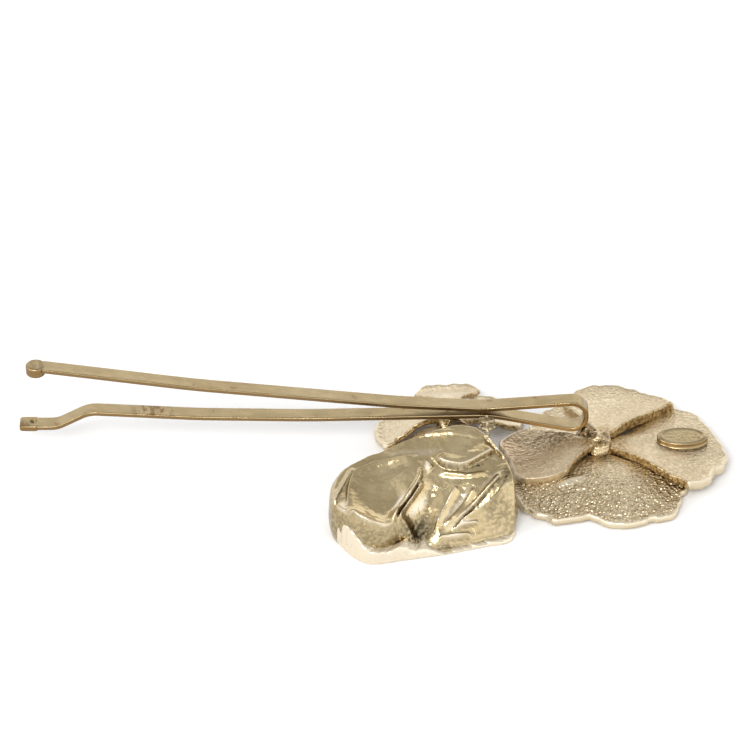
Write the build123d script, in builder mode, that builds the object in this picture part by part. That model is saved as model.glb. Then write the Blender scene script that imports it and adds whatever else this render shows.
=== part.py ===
"""Folded-strip hair slide with two five-petal flowers and a blossom hung on a short chain, in millimetres.

The slide lies on the faces of its flowers, as it does on a table: +Z is up and away from the flower faces,
+X runs from the open tips of the strip to its bow, and the blossom lies on the -Y side.
The origin is under the middle of the bounding box, at the level of the surface that it lies on.
"""

import math
import os

from build123d import *

# Folded strip: one flat spring strip, from the lower tip round the bow to the upper tip
STRIP_WIDTH = 2.0
STRIP_THICKNESS = 0.55
STRIP_EDGE_RADIUS = 0.15
STRIP_Y = 6.0
LOWER_TIP = (-40.9, 3.84)
UPPER_TIP = (-39.6, 12.25)
BOW_END_X = 25.3
BOW_RADIUS = 1.8
# Corners of the strip's side view (x, z), each with the radius of its bend
STRIP_BENDS = [
    ((-38.1, 3.84), 3.0),
    ((-34.2, 6.02), 3.5),
    ((-21.0, 5.28), 90.0),
    ((-8.0, 5.1), 90.0),
    ((14.0, 5.6), 14.0),
    ((BOW_END_X, 3.2), BOW_RADIUS),
    ((BOW_END_X, 7.55), BOW_RADIUS),
    ((12.9, 6.5), 16.0),
    ((3.0, 7.05), 70.0),
    ((-21.7, 9.65), 120.0),
]
# The strip is cut here into its two arms and the bow, so that the slide can open
BOW_CUT_X = 19.5

# Tips of the strip
UPPER_BEAD_X = -40.4
UPPER_BEAD_RADIUS = 1.2
UPPER_BEAD_Z = (11.3, 12.65)
UPPER_BEAD_ROUNDING = 0.3
LOWER_PAD_LENGTH = 2.3
LOWER_PAD_WIDTH = 2.14
LOWER_PAD_Z = (3.42, 4.2)
TIP_ROUNDING = 0.2
DIMPLE_RADIUS = 0.45
DIMPLE_OFFSET = 0.5

# Petals lie in levels, each just above the last
PETAL_THICKNESS = 0.8
LEVEL_STEP = 0.85
RIVET_RADIUS = 1.1
RIVET_HEAD_RADIUS = 1.6
RIVET_HEAD_HEIGHT = 0.32
RIVET_HEAD_GAP = 0.1
STAMEN_RADIUS = 2.1
STAMEN_HEIGHT = 0.5
STAMEN_LUMPS = 8
STAMEN_ROUNDING = 0.15
CLEARANCE = 0.02
# Taller than a whole flower, for cutting through its petals
CUT_HEIGHT = 12.0

LARGE_CENTRE = (27.2, 4.0)
LARGE_RADIUS = 14.4
LARGE_RISE = 0.62
# name: (direction, half width, length as a share of the radius, level, waves in the rim)
LARGE_PETALS = {
    "large_petal_back": (78, 42, 0.88, 2, 2),
    "large_petal_right": (3, 47, 1.045, 1, 3),
    "large_petal_front": (271, 62, 1.0, 0, 5),
    "large_petal_left": (193, 37, 0.88, 2, 2),
    "large_petal_bow": (131, 35, 0.70, 1, 2),
}

SMALL_CENTRE = (9.3, 7.5)
SMALL_RADIUS = 9.4
SMALL_RISE = 2.15
SMALL_PETALS = {
    "small_petal_back": (97, 28, 0.98, 2, 2),
    "small_petal_left": (160, 36, 1.00, 1, 3),
    "small_petal_front_left": (222, 32, 0.74, 0, 2),
    "small_petal_front": (282, 30, 0.70, 2, 2),
    "small_petal_right": (42, 31, 1.00, 0, 3),
}

# Lumps of solder that hold the strip on the flowers
BOW_SOLDER = (24.2, 5.8)
BOW_SOLDER_RADIUS = 1.1
BOW_SOLDER_TOP = 3.6
ARM_SOLDER = (9.3, 6.4)
ARM_SOLDER_RADIUS = 1.35
ARM_SOLDER_TOP = 5.17

# Blank oval plaque on the right petal of the large flower
PLAQUE_CENTRE = (36.9, 5.2)
PLAQUE_RADII = (3.05, 1.75)
PLAQUE_Z = (1.65, 2.75)
PLAQUE_BEVEL = 0.15

# Chain of small rings from the edge of the lower arm to the blossom
RING_RADIUS = 0.87
WIRE_RADIUS = 0.17
RING_PLAY = 0.04
RING_PITCH = 2 * (RING_RADIUS - WIRE_RADIUS) - RING_PLAY
CHAIN_X = 13.3
CHAIN_START = (3.85, 5.95)
CHAIN_SLOPE = 19.0
ARM_STEM = 0.38
BLOSSOM_STEM = 2.1

# Blossom: outline in plan (x, y), then its layers of petals
BLOSSOM_OUTLINE = [
    (-5.1, -9.2),
    (-2.3, -5.4),
    (4.0, -3.1),
    (12.2, -1.4),
    (15.5, -3.7),
    (16.7, -8.2),
    (15.4, -12.1),
    (8.4, -14.6),
    (0.5, -16.9),
    (-3.4, -14.0),
]
BLOSSOM_MIDDLE = (6.0, -8.8)
BLOSSOM_BASE_THICKNESS = 0.8
BLOSSOM_BASE_SHARE = 0.97
# Outside and inside of each layer of petals, as shares of the outline
BLOSSOM_LAYERS = [(1.0, 0.9), (0.885, 0.785)]
# The walls lean in by this share of their size at the height of the heart
BLOSSOM_LEAN = 0.16
BLOSSOM_TOP = 10.0
BLOSSOM_REACH = 30
# name: (first angle, arc, layer, height)
BLOSSOM_PETALS = {
    "blossom_petal_left": (141, 83, 0, 8.2),
    "blossom_petal_front": (225, 83, 0, 7.4),
    "blossom_petal_right": (309, 83, 0, 8.8),
    "blossom_petal_back": (33, 107, 0, 9.4),
    "blossom_inner_petal_left": (110, 119, 1, 9.0),
    "blossom_inner_petal_front": (230, 119, 1, 8.6),
    "blossom_inner_petal_right": (350, 119, 1, 9.6),
}
# Sections of the heart: height and share of the outline
BLOSSOM_HEART = [(BLOSSOM_BASE_THICKNESS, 0.77), (6.0, 0.69), (8.8, 0.54), (BLOSSOM_TOP, 0.3)]


def side_view():
    """Plane of the strip's side view: local x is +X and local y is +Z."""
    return Plane(origin=(0, STRIP_Y, 0), x_dir=(1, 0, 0), z_dir=(0, -1, 0))


def make_strip():
    """The folded strip, cut at the bow: lower arm, bow and upper arm."""
    corners = [corner for corner, _ in STRIP_BENDS]
    radii = [radius for _, radius in STRIP_BENDS]
    with BuildPart() as strip:
        with BuildLine(side_view()) as path:
            FilletPolyline(LOWER_TIP, *corners, UPPER_TIP, radius=radii)
        with BuildSketch(Plane(origin=path.line @ 0, x_dir=(0, 1, 0), z_dir=path.line % 0)):
            RectangleRounded(STRIP_WIDTH, STRIP_THICKNESS, STRIP_EDGE_RADIUS)
        sweep(path=path.line)
    with BuildPart() as bow:
        add(strip.part)
        split(bisect_by=Plane.YZ.offset(BOW_CUT_X), keep=Keep.TOP)
    with BuildPart() as arms:
        add(strip.part)
        split(bisect_by=Plane.YZ.offset(BOW_CUT_X), keep=Keep.BOTTOM)
    lower_solid, upper_solid = arms.part.solids().sort_by(Axis.Z)
    with BuildPart() as lower:
        add(lower_solid)
    with BuildPart() as upper:
        add(upper_solid)
    return lower, bow, upper


def make_upper_tip(upper_arm):
    """Round bead on the end of the upper arm."""
    low, high = UPPER_BEAD_Z
    with BuildPart() as bead:
        with BuildSketch(Plane(origin=(UPPER_BEAD_X, STRIP_Y, low))):
            Circle(UPPER_BEAD_RADIUS)
        extrude(amount=high - low)
        fillet(bead.edges().filter_by(GeomType.CIRCLE), UPPER_BEAD_ROUNDING)
        add(upper_arm.part, mode=Mode.SUBTRACT)
    return bead


def make_lower_tip(lower_arm):
    """Thick rounded end of the lower arm, with a small dimple on top."""
    low, high = LOWER_PAD_Z
    middle = LOWER_TIP[0] - LOWER_PAD_LENGTH / 4
    with BuildPart() as pad:
        with BuildSketch(Plane(origin=(middle, STRIP_Y, low))):
            RectangleRounded(LOWER_PAD_LENGTH, LOWER_PAD_WIDTH, 2 * TIP_ROUNDING)
        extrude(amount=high - low)
        fillet(pad.faces().filter_by(Axis.Z).edges(), TIP_ROUNDING)
        with Locations((middle + DIMPLE_OFFSET, STRIP_Y, high + DIMPLE_RADIUS / 2)):
            Sphere(DIMPLE_RADIUS, mode=Mode.SUBTRACT)
        add(lower_arm.part, mode=Mode.SUBTRACT)
    return pad


def petal_section(radius, rise, level):
    """Section of one level of petals from the flower's axis outwards: a shallow dome with a swell."""
    lift = level * LEVEL_STEP
    underside = [
        (RIVET_RADIUS / 2, rise),
        (0.3 * radius, rise + 0.1),
        (0.62 * radius, 0.66 * rise + 0.15),
        (0.88 * radius, 0.24 * rise + 0.05),
        (1.08 * radius, 0),
    ]
    underside = [(r, z + lift) for r, z in underside]
    back = [(r, z + PETAL_THICKNESS) for r, z in reversed(underside)]
    Spline(*underside, tangents=[(1, 0), (1, -0.1)])
    Line(underside[-1], back[0])
    Spline(*back, tangents=[(-1, 0.1), (-1, 0)])
    Line(back[-1], underside[0])


def petal_outline(length, half_width, waves):
    """Points round a petal that points along +X, from one side of its root to the other, with a wavy rim."""
    spread = math.radians(half_width)
    side = (0.5 * length * math.cos(0.92 * spread), 0.5 * length * math.sin(0.92 * spread))
    root = (0.6 * RIVET_RADIUS * math.cos(spread), 0.6 * RIVET_RADIUS * math.sin(spread))
    points = [(root[0], -root[1]), (side[0], -side[1])]
    steps = 4 * waves
    for step in range(steps + 1):
        share = 2 * step / steps - 1
        reach = length * (0.985 - 0.13 * share**4 - 0.018 * math.cos(waves * math.pi * share))
        points.append((reach * math.cos(share * spread), reach * math.sin(share * spread)))
    return [*points, side, root]


def make_petals(centre, radius, rise, petals):
    """The five petals of one flower, in levels, so that each laps over or under its neighbours."""
    x, y = centre
    made = {}
    for name, (direction, half_width, share, level, waves) in petals.items():
        pointing = Plane(origin=(x, y, -1), x_dir=Vector(1, 0, 0).rotate(Axis.Z, direction), z_dir=(0, 0, 1))
        with BuildPart() as petal:
            with BuildSketch(Plane(origin=(x, y, 0), x_dir=(1, 0, 0), z_dir=(0, -1, 0))):
                with BuildLine():
                    petal_section(radius, rise, level)
                make_face()
            revolve(axis=Axis((x, y, 0), (0, 0, 1)))
            with BuildSketch(pointing):
                with BuildLine() as outline:
                    Spline(*petal_outline(share * radius, half_width, waves))
                    Line(outline.line @ 1, outline.line @ 0)
                make_face()
            extrude(amount=CUT_HEIGHT, mode=Mode.INTERSECT)
            with BuildSketch(pointing):
                Circle(RIVET_RADIUS)
            extrude(amount=CUT_HEIGHT, mode=Mode.SUBTRACT)
        made[name] = petal
    return made


def make_rivet(centre, rise):
    """Rivet through the roots of a flower's petals, with its head on the back."""
    x, y = centre
    stack = 2 * LEVEL_STEP + PETAL_THICKNESS
    with BuildPart() as rivet:
        with BuildSketch(Plane(origin=(x, y, rise))):
            Circle(RIVET_RADIUS)
        extrude(amount=stack + RIVET_HEAD_GAP)
        with BuildSketch(Plane(origin=(x, y, rise + stack + RIVET_HEAD_GAP))):
            Circle(RIVET_HEAD_RADIUS)
        extrude(amount=RIVET_HEAD_HEIGHT)
        fillet(rivet.faces().sort_by(Axis.Z)[-1].edges(), 0.7 * RIVET_HEAD_HEIGHT)
    return rivet


def make_stamens(centre, rise):
    """Low beaded centre on the front of a flower: a ring of small lumps round a larger one."""
    x, y = centre
    lump_radius = 0.32 * STAMEN_RADIUS
    with BuildPart() as stamens:
        with BuildSketch(Plane(origin=(x, y, rise - STAMEN_HEIGHT))):
            Circle(0.6 * STAMEN_RADIUS)
            with PolarLocations(STAMEN_RADIUS - lump_radius, STAMEN_LUMPS):
                Circle(lump_radius)
        extrude(amount=STAMEN_HEIGHT)
        fillet(stamens.faces().sort_by(Axis.Z)[0].edges(), STAMEN_ROUNDING)
    return stamens


def make_bow_solder(bow, petals):
    """Solder between the bow and the back of the large flower."""
    x, y = BOW_SOLDER
    with BuildPart() as solder:
        with BuildSketch(Plane(origin=(x, y, LARGE_RISE + LEVEL_STEP))):
            Circle(BOW_SOLDER_RADIUS)
        extrude(amount=BOW_SOLDER_TOP - LARGE_RISE - LEVEL_STEP)
        for petal in petals.values():
            add(petal.part, mode=Mode.SUBTRACT)
        add(bow.part, mode=Mode.SUBTRACT)
        with BuildSketch(Plane(origin=(*LARGE_CENTRE, 0))):
            Circle(RIVET_HEAD_RADIUS + CLEARANCE)
        extrude(amount=CUT_HEIGHT, mode=Mode.SUBTRACT)
    return solder


def make_arm_solder():
    """Solder between the lower arm and the rivet of the small flower."""
    x, y = ARM_SOLDER
    low = SMALL_RISE + 2 * LEVEL_STEP + PETAL_THICKNESS + RIVET_HEAD_GAP + RIVET_HEAD_HEIGHT
    with BuildPart() as solder:
        with BuildSketch(Plane(origin=(x, y, low))):
            Circle(ARM_SOLDER_RADIUS)
        extrude(amount=ARM_SOLDER_TOP - low)
    return solder


def make_plaque(petal):
    """Blank oval plaque with a bevelled edge, fitted to the back of its petal."""
    x, y = PLAQUE_CENTRE
    low, high = PLAQUE_Z
    across, deep = PLAQUE_RADII
    with BuildPart() as plaque:
        with BuildSketch(Plane(origin=(x, y, low))):
            Ellipse(across, deep)
        extrude(amount=high - low)
        chamfer(plaque.faces().sort_by(Axis.Z)[-1].edges(), PLAQUE_BEVEL)
        add(petal.part, mode=Mode.SUBTRACT)
    return plaque


def chain_point(step):
    """Centre of a ring, counted along the chain from the eyelet on the strip."""
    slope = math.radians(CHAIN_SLOPE)
    y, z = CHAIN_START
    return (CHAIN_X, y - step * RING_PITCH * math.cos(slope), z + step * RING_PITCH * math.sin(slope))


def chain_directions():
    """Directions along the chain and square to it in the Y-Z plane."""
    slope = math.radians(CHAIN_SLOPE)
    along = Vector(0, -math.cos(slope), math.sin(slope))
    square = Vector(0, math.sin(slope), math.cos(slope))
    return along, square


def make_ring(step, upright):
    """One ring of the chain; every other ring stands upright."""
    along, square = chain_directions()
    normal = Vector(1, 0, 0) if upright else square
    wire_centre = Vector(*chain_point(step)) + along * RING_RADIUS
    wire_plane = Plane(origin=wire_centre, x_dir=along, z_dir=normal.cross(along))
    with BuildPart() as ring:
        with BuildSketch(wire_plane):
            Circle(WIRE_RADIUS)
        revolve(axis=Axis(chain_point(step), normal))
    return ring


def make_eyelet(step, upright, toward, stem, other):
    """Ring with a short stem that is soldered to another piece."""
    along, _ = chain_directions()
    ring = make_ring(step, upright)
    start = Vector(*chain_point(step)) + along * toward * (RING_RADIUS + WIRE_RADIUS / 2)
    with BuildPart() as eyelet:
        add(ring.part)
        with BuildSketch(Plane(origin=start, z_dir=along * toward)):
            Circle(1.2 * WIRE_RADIUS)
        extrude(amount=stem)
        add(other.part, mode=Mode.SUBTRACT)
    return eyelet


def blossom_outline(share):
    """The blossom's outline in plan, drawn in towards its middle to a share of its size."""
    mid_x, mid_y = BLOSSOM_MIDDLE
    points = [(mid_x + share * (x - mid_x), mid_y + share * (y - mid_y)) for x, y in BLOSSOM_OUTLINE]
    with BuildSketch() as sketch:
        with BuildLine():
            Spline(*points, periodic=True)
        make_face()
    return sketch.sketch


def wall_section(first, arc, layer, level):
    """Section of a blossom petal's wall at one level, from the angle first round through arc."""
    share = 1 - BLOSSOM_LEAN * (level - BLOSSOM_BASE_THICKNESS) / (BLOSSOM_TOP - BLOSSOM_BASE_THICKNESS)
    outer, inner = BLOSSOM_LAYERS[layer]
    mid_x, mid_y = BLOSSOM_MIDDLE
    angles = [math.radians(first + arc * i / 4) for i in range(5)]
    rays = [(mid_x + BLOSSOM_REACH * math.cos(a), mid_y + BLOSSOM_REACH * math.sin(a)) for a in angles]
    with BuildSketch() as section:
        add(blossom_outline(outer * share))
        add(blossom_outline(inner * share), mode=Mode.SUBTRACT)
        with BuildLine():
            Polyline(BLOSSOM_MIDDLE, *rays, close=True)
        make_face(mode=Mode.INTERSECT)
    return section.sketch


def make_blossom():
    """Base, curved petals in two layers, and heart of the blossom."""
    made = {}
    with BuildPart() as base:
        with BuildSketch():
            add(blossom_outline(BLOSSOM_BASE_SHARE))
        extrude(amount=BLOSSOM_BASE_THICKNESS)
    made["blossom_base"] = base
    for name, (first, arc, layer, height) in BLOSSOM_PETALS.items():
        with BuildPart() as petal:
            for level in (BLOSSOM_BASE_THICKNESS, height):
                with BuildSketch(Plane.XY.offset(level)):
                    add(wall_section(first, arc, layer, level))
            loft()
        made[name] = petal
    with BuildPart() as heart:
        for height, share in BLOSSOM_HEART:
            with BuildSketch(Plane.XY.offset(height)):
                add(blossom_outline(share))
        loft()
    made["blossom_heart"] = heart
    return made


def make_all():
    """Every piece of the slide, by name."""
    lower, bow, upper = make_strip()
    large = make_petals(LARGE_CENTRE, LARGE_RADIUS, LARGE_RISE, LARGE_PETALS)
    small = make_petals(SMALL_CENTRE, SMALL_RADIUS, SMALL_RISE, SMALL_PETALS)
    blossom = make_blossom()
    return {
        "lower_arm": lower,
        "spring_bow": bow,
        "upper_arm": upper,
        "upper_tip_bead": make_upper_tip(upper),
        "lower_tip_pad": make_lower_tip(lower),
        **large,
        "large_flower_rivet": make_rivet(LARGE_CENTRE, LARGE_RISE),
        "large_flower_stamens": make_stamens(LARGE_CENTRE, LARGE_RISE),
        "oval_plaque": make_plaque(large["large_petal_right"]),
        "bow_solder": make_bow_solder(bow, large),
        **small,
        "small_flower_rivet": make_rivet(SMALL_CENTRE, SMALL_RISE),
        "small_flower_stamens": make_stamens(SMALL_CENTRE, SMALL_RISE),
        "arm_solder": make_arm_solder(),
        "chain_eyelet": make_eyelet(0, False, -1, ARM_STEM, lower),
        "chain_link_1": make_ring(1, True),
        "chain_link_2": make_ring(2, False),
        **blossom,
        "blossom_eyelet": make_eyelet(3, True, 1, BLOSSOM_STEM, blossom["blossom_petal_back"]),
    }


os.makedirs("parts", exist_ok=True)
for piece_name, piece in make_all().items():
    piece.part.label = piece_name
    export_step(piece.part, f"parts/{piece_name}.step")
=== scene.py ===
import math

import bmesh
import bpy
import numpy as np
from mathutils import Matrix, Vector, noise


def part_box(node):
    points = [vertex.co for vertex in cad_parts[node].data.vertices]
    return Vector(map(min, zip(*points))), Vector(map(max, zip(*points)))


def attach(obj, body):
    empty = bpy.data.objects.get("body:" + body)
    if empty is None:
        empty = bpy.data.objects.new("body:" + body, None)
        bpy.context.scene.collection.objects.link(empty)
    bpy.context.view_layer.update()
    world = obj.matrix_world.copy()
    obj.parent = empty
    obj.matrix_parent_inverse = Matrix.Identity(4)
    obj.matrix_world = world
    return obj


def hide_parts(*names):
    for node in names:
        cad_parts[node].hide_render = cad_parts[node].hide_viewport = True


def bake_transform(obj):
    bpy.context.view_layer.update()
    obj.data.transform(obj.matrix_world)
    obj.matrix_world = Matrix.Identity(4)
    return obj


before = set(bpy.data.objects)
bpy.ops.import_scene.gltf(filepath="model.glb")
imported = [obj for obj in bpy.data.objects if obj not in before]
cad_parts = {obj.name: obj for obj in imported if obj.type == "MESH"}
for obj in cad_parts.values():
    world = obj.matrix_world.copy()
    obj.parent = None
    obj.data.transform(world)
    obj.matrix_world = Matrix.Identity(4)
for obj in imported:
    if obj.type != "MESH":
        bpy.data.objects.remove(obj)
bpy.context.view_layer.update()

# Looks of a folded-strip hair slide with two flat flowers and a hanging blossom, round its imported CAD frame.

MM = 0.001
# how far above the floor the lowest points of a piece stay, in millimetres
FLOOR_GAP = 0.02


# ---------------------------------------------------------------- small helpers


def smooth(x):
    """Smooth step from 0 to 1 as x goes from 0 to 1."""
    x = np.clip(x, 0.0, 1.0)
    return x * x * (3 - 2 * x)


def through(points, share):
    """Points of a smooth curve through the given points, at shares from 0 to 1 of its length."""
    points = np.array(points, float)
    steps = np.r_[0, np.cumsum(np.linalg.norm(np.diff(points, axis=0), axis=1))]
    steps /= steps[-1]
    slopes = np.gradient(points, steps, axis=0)
    share = np.atleast_1d(share)
    i = np.clip(np.searchsorted(steps, share, side="right") - 1, 0, len(points) - 2)
    width = (steps[i + 1] - steps[i])[:, None]
    x = ((share - steps[i])[:, None]) / width
    a, b = points[i], points[i + 1]
    ma, mb = slopes[i] * width, slopes[i + 1] * width
    rise = 3 * x**2 - 2 * x**3
    return a * (1 - rise) + b * rise + ma * (x**3 - 2 * x**2 + x) + mb * (x**3 - x**2)


def round_loop(points, share):
    """Points of a closed smooth curve through the given points."""
    n = len(points)
    wrapped = [points[(i - 2) % n] for i in range(n + 5)]
    array = np.array(wrapped, float)
    steps = np.r_[0, np.cumsum(np.linalg.norm(np.diff(array, axis=0), axis=1))]
    steps /= steps[-1]
    first, last = steps[2], steps[2 + n]
    return through(wrapped, first + np.asarray(share) * (last - first))


def make_object(name, vertices, faces, material):
    """A smooth-shaded mesh object, from vertices in millimetres."""
    mesh = bpy.data.meshes.new(name)
    mesh.from_pydata((np.asarray(vertices) * MM).tolist(), [], faces)
    mesh.validate()
    mesh.shade_smooth()
    mesh.materials.append(material)
    obj = bpy.data.objects.new(name, mesh)
    bpy.context.scene.collection.objects.link(obj)
    return obj


def paint(obj, name, values):
    """Stores one number per vertex for the materials to read."""
    layer = obj.data.attributes.new(name, "FLOAT", "POINT")
    layer.data.foreach_set("value", np.asarray(values, np.float32).ravel())


def grid_faces(rows, columns, start=0, flip=False, closed=False):
    """Quads of a grid of vertices; closed joins its last column to its first."""
    faces = []
    last = columns if closed else columns - 1
    for i in range(rows - 1):
        for j in range(last):
            here, above = start + i * columns, start + (i + 1) * columns
            k = (j + 1) % columns
            quad = (here + j, here + k, above + k, above + j)
            faces.append(quad[::-1] if flip else quad)
    return faces


def border_of(rows, columns):
    """Indices round the border of a grid."""
    border = list(range(columns))
    border += [i * columns + columns - 1 for i in range(1, rows)]
    border += [(rows - 1) * columns + j for j in range(columns - 2, -1, -1)]
    border += [i * columns for i in range(rows - 2, 0, -1)]
    return border


def face_outwards(obj):
    """Turns the faces of a closed mesh to point outwards."""
    shape = bmesh.new()
    shape.from_mesh(obj.data)
    bmesh.ops.recalc_face_normals(shape, faces=shape.faces)
    shape.to_mesh(obj.data)
    shape.free()


def solid_sheet(top, bottom):
    """Vertices and faces of the closed solid between two grids of the same size, top and bottom."""
    rows, columns = top.shape[:2]
    count = rows * columns
    vertices = np.concatenate([top.reshape(-1, 3), bottom.reshape(-1, 3)])
    faces = grid_faces(rows, columns) + grid_faces(rows, columns, count, flip=True)
    border = border_of(rows, columns)
    for a, b in zip(border, border[1:] + border[:1]):
        faces.append((b, a, count + a, count + b))
    return vertices, faces


def edge_shares(count, rounding, length):
    """Shares from 0 to 1, evenly spread, with extra ones inside the rounding at each end."""
    inside = rounding / length
    fine = inside * (1 - np.cos(np.linspace(0, math.pi / 2, 6)))
    middle = np.linspace(inside, 1 - inside, count)[1:-1]
    return np.concatenate([fine, middle, 1 - fine[::-1]])


def edge_drop(distance, radius):
    """How far a rounded edge falls below the surface, at a distance in from the edge."""
    d = np.clip(radius - distance, 0, radius)
    return radius - np.sqrt(np.maximum(radius**2 - d**2, 0))


def wobble(points, size, seed):
    """Soft noise from about -1 to 1 at points in millimetres."""
    return np.array([noise.noise(Vector((x / size + seed, y / size - seed, z / size))) for x, y, z in points])


def flat_wobble(x, y, size, seed):
    """The same noise over a grid of x and y."""
    return wobble(np.dstack([x, y, 0 * x]).reshape(-1, 3), size, seed).reshape(x.shape)


def patches(face, spots):
    """Soft-edged oval patches at points of the face, from 0 to 1."""
    total = np.zeros(len(face))
    for x, up, length, width, turn, strength in spots:
        c, d = math.cos(math.radians(turn)), math.sin(math.radians(turn))
        a = ((face[:, 0] - x) * c + (face[:, 1] - up) * d) / length
        b = (-(face[:, 0] - x) * d + (face[:, 1] - up) * c) / width
        total = np.maximum(total, strength * np.exp(-((a**2 + b**2) ** 1.5)))
    return total


# ---------------------------------------------------------------- materials


class Nodes:
    """Shorthand for building one material's nodes."""

    def __init__(self, name):
        self.material = bpy.data.materials.new(name)
        self.material.use_nodes = True
        self.tree = self.material.node_tree
        self.shader = self.tree.nodes["Principled BSDF"]
        self.place = self.add("ShaderNodeTexCoord").outputs["Object"]

    def add(self, kind, **values):
        node = self.tree.nodes.new(kind)
        for key, value in values.items():
            if key in node.inputs:
                node.inputs[key].default_value = value
            else:
                setattr(node, key, value)
        return node

    def link(self, output, target):
        self.tree.links.new(output, target)

    def noise(self, scale, detail=3.0, stretch=(1, 1, 1)):
        mapping = self.add("ShaderNodeMapping")
        mapping.inputs["Scale"].default_value = stretch
        self.link(self.place, mapping.inputs["Vector"])
        node = self.add("ShaderNodeTexNoise", Scale=scale, Detail=detail)
        self.link(mapping.outputs["Vector"], node.inputs["Vector"])
        return node.outputs["Fac"]

    def painted(self, name):
        return self.add("ShaderNodeAttribute", attribute_name=name).outputs["Fac"]

    def facing_up(self):
        split = self.add("ShaderNodeSeparateXYZ")
        self.link(self.add("ShaderNodeTexCoord").outputs["Normal"], split.inputs[0])
        return split.outputs["Z"]

    def ramp(self, factor, low, high, low_value=0.0, high_value=1.0):
        node = self.add("ShaderNodeMapRange", interpolation_type="SMOOTHSTEP")
        node.inputs["From Min"].default_value = low
        node.inputs["From Max"].default_value = high
        node.inputs["To Min"].default_value = low_value
        node.inputs["To Max"].default_value = high_value
        self.link(factor, node.inputs["Value"])
        return node.outputs["Result"]

    def mix(self, factor, first, second):
        node = self.add("ShaderNodeMix", data_type="RGBA")
        for socket, value in ((node.inputs[0], factor), (node.inputs[6], first), (node.inputs[7], second)):
            if isinstance(value, (tuple, float)):
                socket.default_value = (*value, 1) if isinstance(value, tuple) else value
            else:
                self.link(value, socket)
        return node.outputs[2]

    def multiply(self, first, second):
        node = self.add("ShaderNodeMath", operation="MULTIPLY")
        for socket, value in zip(node.inputs, (first, second)):
            if isinstance(value, float):
                socket.default_value = value
            else:
                self.link(value, socket)
        return node.outputs[0]

    def bump(self, height, strength, distance, below=None):
        node = self.add("ShaderNodeBump", Strength=strength, Distance=distance)
        self.link(height, node.inputs["Height"])
        if below is not None:
            self.link(below, node.inputs["Normal"])
        return node.outputs["Normal"]


PALE_GOLD = (0.40, 0.315, 0.18)
WARM_GOLD = (0.36, 0.275, 0.145)
BROWN = (0.30, 0.18, 0.09)


def polished_gold():
    """Glossy cast gold of the blossom: slightly uneven, with painted shade in its creases, painted highlights
    and a painted floor reflection low down.
    """
    n = Nodes("polished_gold")
    tone = n.mix(n.ramp(n.noise(170), 0.35, 0.7), (0.48, 0.375, 0.205), (0.61, 0.495, 0.295))
    dust = n.ramp(n.noise(2200, 2), 0.6, 0.75)
    tone = n.mix(n.multiply(dust, 0.3), tone, (0.36, 0.27, 0.15))
    # painted highlights: a near-white gold on the crests and bright patches, and a painted floor reflection on
    # the low sheet
    tone = n.mix(n.painted("painted_highlight"), tone, (0.80, 0.71, 0.57))
    # painted shade: a mottled dark gold over the creases, the foot of the face, the lower wall and the
    # underside
    painted_shade = n.mix(n.ramp(n.noise(2300, 5), 0.4, 0.62), (0.07, 0.055, 0.03), (0.40, 0.32, 0.19))
    n.link(n.mix(n.painted("painted_shade"), tone, painted_shade), n.shader.inputs["Base Color"])
    # less metallic under a painted highlight, so it shows brighter
    n.link(n.ramp(n.painted("painted_highlight"), 0.3, 1.0, 1.0, 0.5), n.shader.inputs["Metallic"])
    n.link(n.ramp(n.noise(400), 0.3, 0.7, 0.15, 0.28), n.shader.inputs["Roughness"])
    low = n.bump(n.noise(380, 3), 0.25, 0.0004)
    n.link(n.bump(n.noise(2400, 4), 0.45, 0.0001, low), n.shader.inputs["Normal"])
    return n.material


def grained_gold():
    """Matte gold with a pebbled, sparkling grain, smoother at the rims with a painted highlight there, and
    painted shade in the seams and round the roots.
    """
    n = Nodes("grained_gold")
    tone = n.mix(n.ramp(n.noise(140), 0.35, 0.7), (0.60, 0.495, 0.33), (0.72, 0.62, 0.44))
    pebble = n.add("ShaderNodeTexVoronoi", feature="SMOOTH_F1", Scale=2700.0, Smoothness=0.3)
    n.link(n.place, pebble.inputs["Vector"])
    gap = n.ramp(pebble.outputs["Distance"], 0.35, 0.75)
    tone = n.mix(n.multiply(n.multiply(gap, n.painted("grain")), 0.55), tone, (0.30, 0.21, 0.10))
    specks = n.ramp(n.noise(3300, 2), 0.55, 0.7)
    tone = n.mix(n.multiply(specks, 0.5), tone, (0.46, 0.34, 0.19))
    # painted highlight along the rims and on the shine patches
    tone = n.mix(n.multiply(n.painted("rim"), 0.5), tone, (0.88, 0.79, 0.62))
    # painted shade: a mottled brown gold in the seams between petals and round their roots
    seam_shade = n.mix(n.ramp(n.noise(2600, 5), 0.38, 0.6), (0.26, 0.17, 0.07), (0.64, 0.49, 0.27))
    tone = n.mix(n.painted("seam_shade"), tone, seam_shade)
    n.link(n.mix(n.painted("blush"), tone, (0.48, 0.30, 0.18)), n.shader.inputs["Base Color"])
    n.shader.inputs["Metallic"].default_value = 1.0
    gloss = n.ramp(n.painted("grain"), 0.1, 0.8, 0.4, 0.3)
    n.link(n.multiply(gloss, n.ramp(n.noise(2500, 1), 0.35, 0.65, 0.7, 1.3)), n.shader.inputs["Roughness"])
    fine = n.bump(n.noise(3600, 2), 0.6, 0.00012)
    pebbles = n.add("ShaderNodeBump", Distance=0.0003, invert=True)
    n.link(n.painted("grain"), pebbles.inputs["Strength"])
    n.link(pebble.outputs["Distance"], pebbles.inputs["Height"])
    n.link(fine, pebbles.inputs["Normal"])
    n.link(pebbles.outputs["Normal"], n.shader.inputs["Normal"])
    return n.material


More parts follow.
